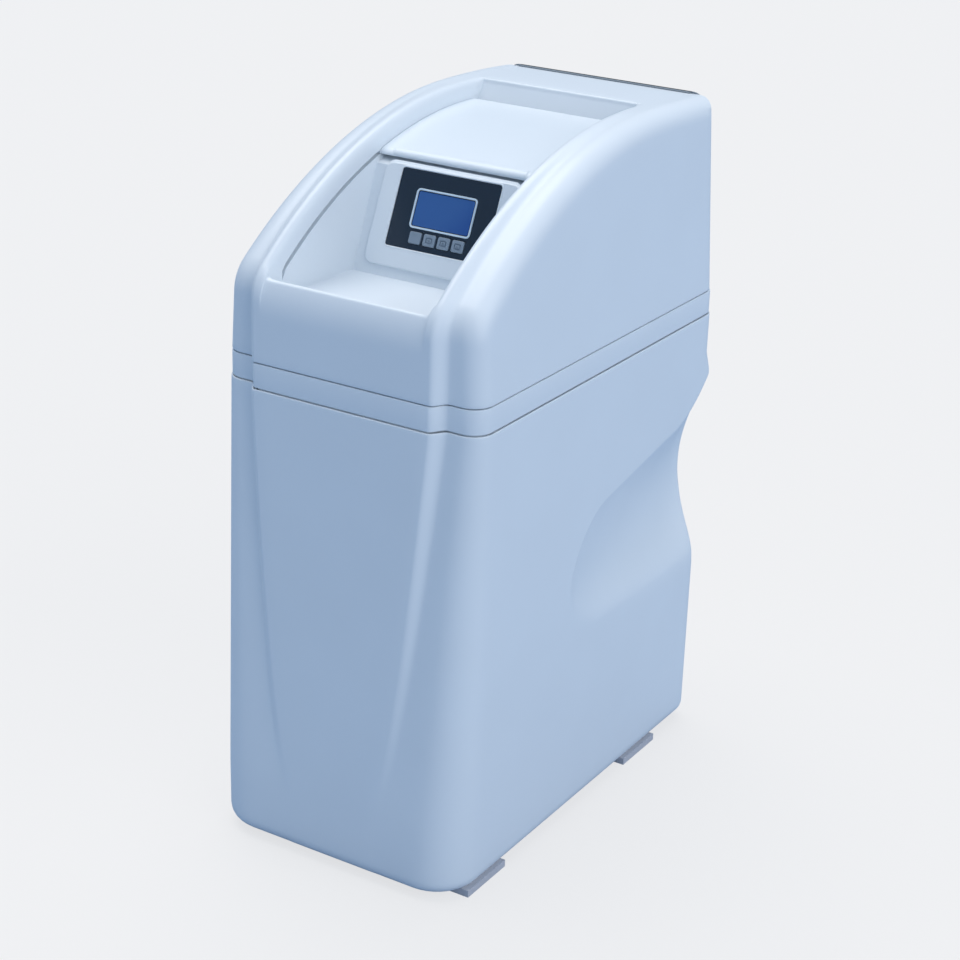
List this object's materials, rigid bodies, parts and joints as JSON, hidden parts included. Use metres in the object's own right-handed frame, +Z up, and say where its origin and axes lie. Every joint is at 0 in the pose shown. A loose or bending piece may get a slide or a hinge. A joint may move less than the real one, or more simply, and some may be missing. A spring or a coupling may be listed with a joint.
{
  "type": "iron removal filter",
  "caption": "Compact floor-standing cabinet water filter with a sunk tilted display, a lid sliding along a curve, a pressure vessel, an automatic valve and a bypass.",
  "frame": {"origin": "on the floor, under the middle of the cabinet's box", "axes": "+Z up, +Y to the back where the pipes leave, +X to the right seen from the front"},
  "size_m": [0.27, 0.4738, 0.6641],
  "materials": {
    "shell_white": "glossy moulded white with a cool cast",
    "lid_white": "glossy moulded white",
    "slate_panel": "satin slate blue",
    "fascia_black": "glossy near-black navy",
    "frame_silver": "satin silver-grey",
    "window_blue": "unlit blue display",
    "key_grey": "satin mid grey",
    "board_green": "solder-masked board",
    "foot_grey": "grey rubber",
    "vessel_grey": "wound glass-fibre vessel",
    "boot_black": "black moulded plastic",
    "pipe_white": "natural white plastic",
    "gravel_tan": "quartz gravel",
    "media_brown": "granular iron-removal media",
    "valve_black": "glass-filled black plastic",
    "ceramic": "polished ceramic",
    "stem_brass": "turned brass",
    "gear_white": "acetal",
    "motor_steel": "plated steel can",
    "screw_steel": "stainless steel",
    "nut_black": "black moulded plastic",
    "knob_blue": "blue moulded plastic",
    "knob_grey": "grey moulded plastic",
    "seal_rubber": "black rubber",
    "float_blue": "foamed plastic",
    "pick_up_grey": "grey plastic tube"
  },
  "bodies": {
    "cabinet": {"tank_casing": "shell_white", "foot_front_left": "foot_grey", "foot_front_right": "foot_grey", "foot_rear_left": "foot_grey", "foot_rear_right": "foot_grey", "collar": "shell_white", "pressure_vessel": "vessel_grey", "vessel_boot": "boot_black", "riser_tube": "pipe_white", "lower_basket": "pipe_white", "upper_basket": "pipe_white", "gravel_bed": "gravel_tan", "media_bed": "media_brown", "valve_body": "valve_black", "fixed_disc": "ceramic", "valve_bonnet": "boot_black", "bonnet_screws": "screw_steel", "gear_cover": "boot_black", "drive_motor": "motor_steel", "power_inlet": "valve_black", "injector_cap": "valve_black", "drain_elbow": "valve_black", "brine_fitting": "pipe_white", "brine_line": "pipe_white", "bypass_body": "valve_black", "inlet_coupling": "stem_brass", "outlet_coupling": "stem_brass", "coupling_nuts": "nut_black", "port_seals": "seal_rubber", "turbine_cage": "valve_black", "brine_well": "pipe_white", "well_cap": "pipe_white", "brine_valve": "pick_up_grey", "salt_grid": "pipe_white", "overflow_outlet": "valve_black", "overflow_nut": "valve_black", "overflow_seal": "seal_rubber"},
    "hood": {"hood_shell": "shell_white", "rear_panel": "slate_panel", "rear_panel_screws": "screw_steel", "display_bezel": "shell_white", "display_fascia": "fascia_black", "display_window": "window_blue", "window_frame": "frame_silver", "circuit_board": "board_green"},
    "lid": {"slide_lid": "lid_white"},
    "key_one": {"key_1": "key_grey"},
    "key_two": {"key_2": "key_grey"},
    "key_three": {"key_3": "key_grey"},
    "key_four": {"key_4": "key_grey"},
    "disc_drive": {"drive_gear": "gear_white", "disc_stem": "stem_brass", "moving_disc": "ceramic"},
    "pinion": {"motor_pinion": "gear_white"},
    "meter": {"meter_turbine": "gear_white"},
    "inlet_valve": {"inlet_knob": "knob_blue"},
    "outlet_valve": {"outlet_knob": "knob_grey"},
    "brine_float": {"float": "float_blue"}
  },
  "joints": [
    {"name": "hood_lift", "type": "slide", "parent": "cabinet", "child": "hood", "axis": [0, 0, 1], "range_m": [0, 0.2]},
    {"name": "lid_slide", "type": "hinge", "parent": "hood", "child": "lid", "pos_m": [0, 0.087, 0.194], "axis": [1, 0, 0], "range_deg": [0, 20]},
    {"name": "key_1_press", "type": "slide", "parent": "hood", "child": "key_one", "axis": [0, 0.9157, -0.4019], "range_m": [0, 0.0008], "stiffness_N_per_m": 800, "springref_m": -0.0004},
    {"name": "key_2_press", "type": "slide", "parent": "hood", "child": "key_two", "axis": [0, 0.9157, -0.4019], "range_m": [0, 0.0008], "stiffness_N_per_m": 800, "springref_m": -0.0004},
    {"name": "key_3_press", "type": "slide", "parent": "hood", "child": "key_three", "axis": [0, 0.9157, -0.4019], "range_m": [0, 0.0008], "stiffness_N_per_m": 800, "springref_m": -0.0004},
    {"name": "key_4_press", "type": "slide", "parent": "hood", "child": "key_four", "axis": [0, 0.9157, -0.4019], "range_m": [0, 0.0008], "stiffness_N_per_m": 800, "springref_m": -0.0004},
    {"name": "disc_turn", "type": "hinge", "parent": "cabinet", "child": "disc_drive", "pos_m": [0, 0.098, 0.52], "axis": [0, 0, 1], "continuous": true},
    {"name": "pinion_turn", "type": "hinge", "parent": "cabinet", "child": "pinion", "pos_m": [0.04688, 0.098, 0.548], "axis": [0, 0, 1], "continuous": true},
    {"name": "turbine_spin", "type": "hinge", "parent": "cabinet", "child": "meter", "pos_m": [-0.03, 0.142, 0.506], "axis": [0, 1, 0], "continuous": true},
    {"name": "inlet_turn", "type": "hinge", "parent": "cabinet", "child": "inlet_valve", "pos_m": [0.03, 0.177, 0.506], "axis": [0, 0, 1], "range_deg": [0, 90]},
    {"name": "outlet_turn", "type": "hinge", "parent": "cabinet", "child": "outlet_valve", "pos_m": [-0.03, 0.177, 0.506], "axis": [0, 0, 1], "range_deg": [-90, 0]},
    {"name": "float_rise", "type": "slide", "parent": "cabinet", "child": "brine_float", "axis": [0, 0, 1], "range_m": [0, 0.06]}
  ],
  "couplings": [
    {"joint": "pinion_turn", "follows": "disc_turn", "ratio": -4}
  ]
}
